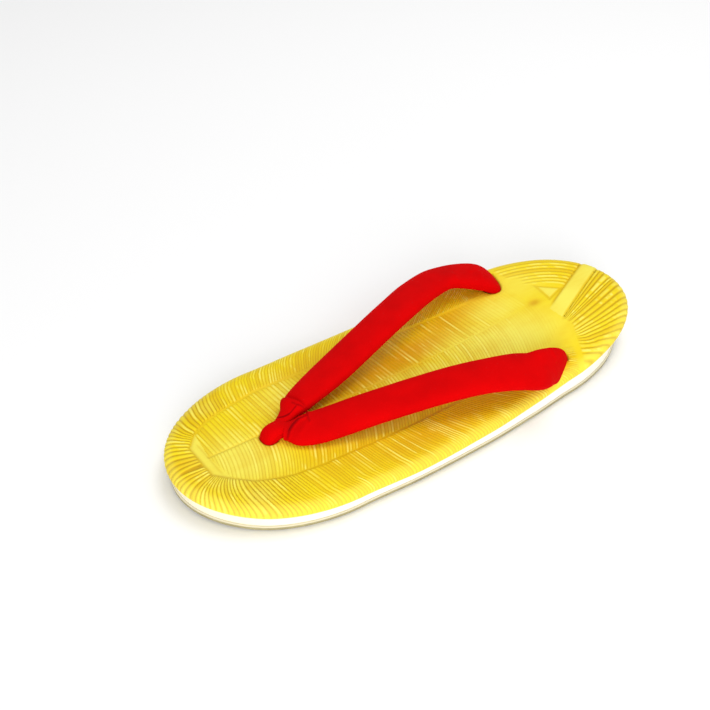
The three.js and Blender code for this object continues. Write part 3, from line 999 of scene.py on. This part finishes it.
# %% Raise the ribs and keep a plain mesh
tree = relief_tree(foam_top)
raised = top.modifiers.new("relief", "NODES")
raised.node_group = tree
for item in tree.interface.items_tree:
    if item.in_out == "INPUT" and item.name in dict(RELIEF_INPUTS):
        raised[item.identifier] = dict(RELIEF_INPUTS)[item.name]
graph = bpy.context.evaluated_depsgraph_get()
plain = bpy.data.meshes.new_from_object(top.evaluated_get(graph))
top.modifiers.remove(raised)
top.data = plain
top.data.shade_smooth()
print("top triangles:", sum(len(p.vertices) - 2 for p in top.data.polygons))

# %% [markdown]
# ## Finish of the cloth
# The straps are covered in a red fine-pile cloth: very rough, with a soft bloom where it turns
# away, and painted shade in its folds and on the left wing's bent-down end. The weave follows the
# cloth's own map, which runs along the strap.


# %% Fill the cloth's material
WARP_SPACING = 0.00055
WEFT_SPACING = 0.00060


def cloth_finish():
    constants = {"Sheen Weight": 0.10, "Sheen Roughness": 0.45, "Specular IOR Level": 0.04}
    material, start, shader = new_finish("red_pile_cloth", constants)
    shader.inputs["Sheen Tint"].default_value = linear(255, 40, 30)
    cloth_map = start.node("ShaderNodeUVMap", {"uv_map": "cloth_map"})
    split = start.tree.nodes.new("ShaderNodeSeparateXYZ")
    start.tree.links.new(cloth_map.socket, split.inputs[0])
    along, across = (Wire(start.tree, split.outputs[k]) for k in (0, 1))
    warp = (across * (2 * math.pi / WARP_SPACING)).maths("SINE")
    weft = (along * (2 * math.pi / WEFT_SPACING)).maths("SINE")
    weave = warp * weft
    pile = grain(start, 2600.0, 4.0)
    cloud = grain(start, 70.0, 2.0)
    colour = mix(cloud.between(0.3, 0.75), linear(209, 0, 2), linear(197, 0, 2))
    colour = mix(pile.between(0.55, 0.9) * 0.30, colour, linear(236, 6, 6))
    # Painted shade in the folds and on the left wing's bent-down end.
    colour = mix(attribute_of(start, "fold_shade").between(0.15, 1.0) * 0.8, colour, linear(120, 0, 4))
    roughness = 0.80 + pile * 0.15
    finish_with(start, shader, colour, roughness, weave * 0.35 + pile * 0.65, 0.00006)
    return material


red_cloth = cloth_finish()
for piece in (straps, thong):
    piece.data.materials.clear()
    piece.data.materials.append(red_cloth)
    piece.data.shade_smooth()

# %% [markdown]
# ## Finish of the wedge and the tread
# The wedge is cut closed-cell foam, so its wall shows fine pores and turns a little yellow at the
# ends. The tread is a tan rubber sheet with a moulded stipple and a paler line at its upper edge.


# %% Fill both materials
def wedge_finish():
    material, start, shader = new_finish("white_cut_foam", {"Specular IOR Level": 0.25})
    place = start.node("ShaderNodeTexCoord", output=3)
    split = start.tree.nodes.new("ShaderNodeSeparateXYZ")
    start.tree.links.new(place.socket, split.inputs[0])
    along = Wire(start.tree, split.outputs[1])
    ends = along.maths("ABSOLUTE").between(0.055, 0.12)
    pores = grain(start, 1500.0, 2.0)
    cuts = grain(start, 260.0, 2.0, (1.0, 0.15, 3.0))
    colour = mix(ends, linear(250, 247, 240), linear(240, 233, 208))
    colour = mix(cuts.between(0.5, 0.85) * 0.4, colour, linear(236, 229, 210))
    colour = mix((1 - pores.between(0.25, 0.4)) * 0.25, colour, linear(214, 204, 176))
    finish_with(start, shader, colour, 0.62 + pores * 0.2, pores * 0.6 + cuts * 0.6, 0.00012)
    return material


def tread_finish():
    material, start, shader = new_finish("tan_rubber", {"Specular IOR Level": 0.3})
    place = start.node("ShaderNodeTexCoord", output=3)
    cell = {"Vector": place, "Scale": 420.0}
    stipple = start.node("ShaderNodeTexVoronoi", None, cell)
    cloud = grain(start, 120.0, 3.0)
    colour = mix(cloud.between(0.3, 0.8), linear(168, 158, 118), linear(148, 138, 100))
    colour = mix((1 - stipple.between(0.0, 0.5)) * 0.2, colour, linear(140, 130, 100))
    colour = mix(attribute_of(start, "edge_share").between(0.70, 0.92), colour, linear(226, 218, 190))
    finish_with(start, shader, colour, 0.7 + cloud * 0.15, stipple * 0.6 + cloud * 0.4, 0.00015)
    return material


wedge.data.materials.append(wedge_finish())
tread.data.materials.append(tread_finish())

# %% [markdown]
# ## Hand the pieces to the part
# Each piece rides on the one body and stands for its solid.

# %% Ride and replace
HANDED_OVER = (
    (tread, "outsole", "tread"),
    (wedge, "midsole", "wedge_foam"),
    (top, "top_sheet", "footbed_foam"),
    (straps, "straps", "strap_cloth"),
    (thong, "toe_thong", "strap_cloth"),
)
for piece, node, slot_name in HANDED_OVER:
    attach(piece, "root")
    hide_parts(node)

# %% [markdown]
# ## Floor, light and camera
# The sandal stands on a plain pale floor under a large soft light from above, with a lower one from
# the side that brightens the foam wall, so the pleats show and the shadow stays faint. The camera is
# a normal lens at half a metre, placed by matching the sole's outline to the photograph. The width
# of the sole was assumed for that, and another width would put the camera elsewhere.

# %% Lay the floor
floor_mesh = bpy.data.meshes.new("floor")
FLOOR_HALF = 3.0
corners = [(-1, -1), (1, -1), (1, 1), (-1, 1)]
floor_mesh.from_pydata([(FLOOR_HALF * x, FLOOR_HALF * y, 0) for x, y in corners], [], [(0, 1, 2, 3)])
floor = bpy.data.objects.new("floor", floor_mesh)
bpy.context.scene.collection.objects.link(floor)
PALE_FLOOR = {"Base Color": (0.95, 0.95, 0.95, 1.0), "Roughness": 0.9, "Specular IOR Level": 0.1}
floor_finish = new_finish("pale_floor", PALE_FLOOR)[0]
floor_mesh.materials.append(floor_finish)


# %% Set the lights
def soft_light(name, place, size, power, target=(0.0, 0.0, 0.01)):
    data = bpy.data.lights.new(name, "AREA")
    data.shape = "DISK"
    data.size = size
    data.energy = power
    lamp = bpy.data.objects.new(name, data)
    bpy.context.scene.collection.objects.link(lamp)
    lamp.location = place
    lamp.rotation_mode = "QUATERNION"
    lamp.rotation_quaternion = (Vector(target) - Vector(place)).to_track_quat("-Z", "Y")


KEY_WATTS = 6.0
FILL_WATTS = 9.4
ROOM_STRENGTH = 0.62
soft_light("key_overhead", (-0.10, 0.45, 1.20), 0.8, KEY_WATTS)
soft_light("side_fill", (0.95, -0.65, 0.35), 0.7, FILL_WATTS)
world = bpy.data.worlds.new("pale_room")
bpy.context.scene.world = world
world.use_nodes = True
world.node_tree.nodes["Background"].inputs["Color"].default_value = (1.0, 1.0, 1.0, 1.0)
world.node_tree.nodes["Background"].inputs["Strength"].default_value = ROOM_STRENGTH
bpy.context.scene.view_settings.view_transform = "Standard"

# %% Place the camera
CAMERA_AZIMUTH = 55.46
CAMERA_ELEVATION = 37.23
CAMERA_ROLL = -0.50
CAMERA_DISTANCE = 0.50319
CAMERA_TARGET = Vector((-0.0237, -0.01576, 0.015))
FOCAL_PIXELS = 1091.56
PICTURE_PIXELS = 710.0


def aim_camera():
    azimuth, elevation, roll = map(math.radians, (CAMERA_AZIMUTH, CAMERA_ELEVATION, CAMERA_ROLL))
    flat = math.cos(elevation)
    back = Vector((math.sin(azimuth) * flat, -math.cos(azimuth) * flat, math.sin(elevation)))
    level = Vector((math.cos(azimuth), math.sin(azimuth), 0))
    upward = back.cross(level)
    right = math.cos(roll) * level + math.sin(roll) * upward
    above = -math.sin(roll) * level + math.cos(roll) * upward
    place = CAMERA_TARGET + back * CAMERA_DISTANCE
    matrix = Matrix((right, above, back)).transposed().to_4x4()
    matrix.translation = place
    return matrix


lens = bpy.data.cameras.new("camera")
lens.sensor_width = 36.0
lens.lens = FOCAL_PIXELS / PICTURE_PIXELS * lens.sensor_width
lens.clip_start = 0.01
camera = bpy.data.objects.new("camera", lens)
bpy.context.scene.collection.objects.link(camera)
camera.matrix_world = aim_camera()
bpy.context.scene.camera = camera
print("lens, mm:", round(lens.lens, 2))
